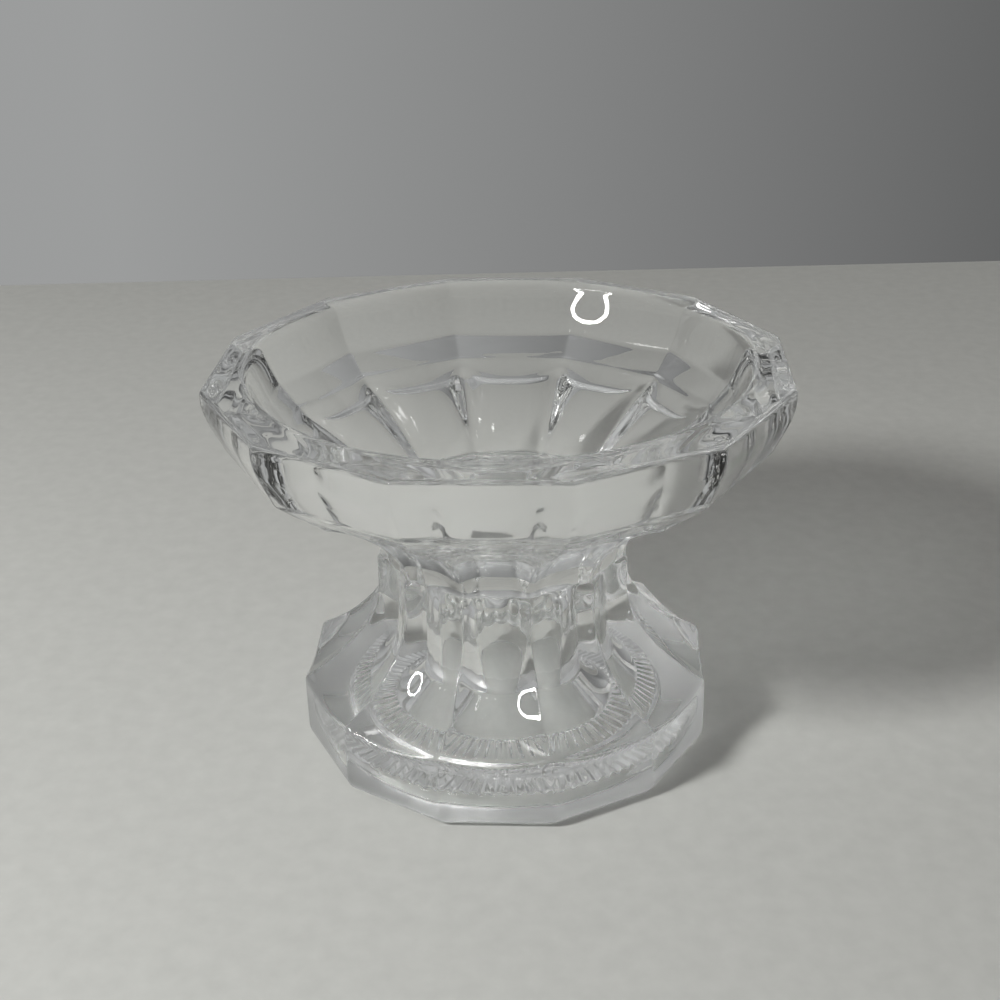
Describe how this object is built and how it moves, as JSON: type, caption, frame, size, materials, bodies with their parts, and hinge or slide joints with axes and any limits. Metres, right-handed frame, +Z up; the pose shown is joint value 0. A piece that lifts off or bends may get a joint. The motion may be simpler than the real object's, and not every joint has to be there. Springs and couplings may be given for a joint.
{
  "type": "footed votive candle holder",
  "caption": "Footed votive candle holder in clear pressed glass, with a wide faceted bowl, a fluted waist and a flared faceted foot.",
  "frame": {"origin": "centre of the foot's underside, on the plane that the holder stands on", "axes": "+Z up along the neck's axis; the flats of the faceted rings are square to X and to Y"},
  "size_m": [0.0986, 0.0986, 0.0721],
  "materials": {
    "clear_glass": "clear, fire-polished",
    "clear_bond": "clear cured adhesive"
  },
  "bodies": {
    "root": {"foot": "clear_glass", "bond": "clear_bond", "bowl": "clear_glass"}
  },
  "joints": []
}
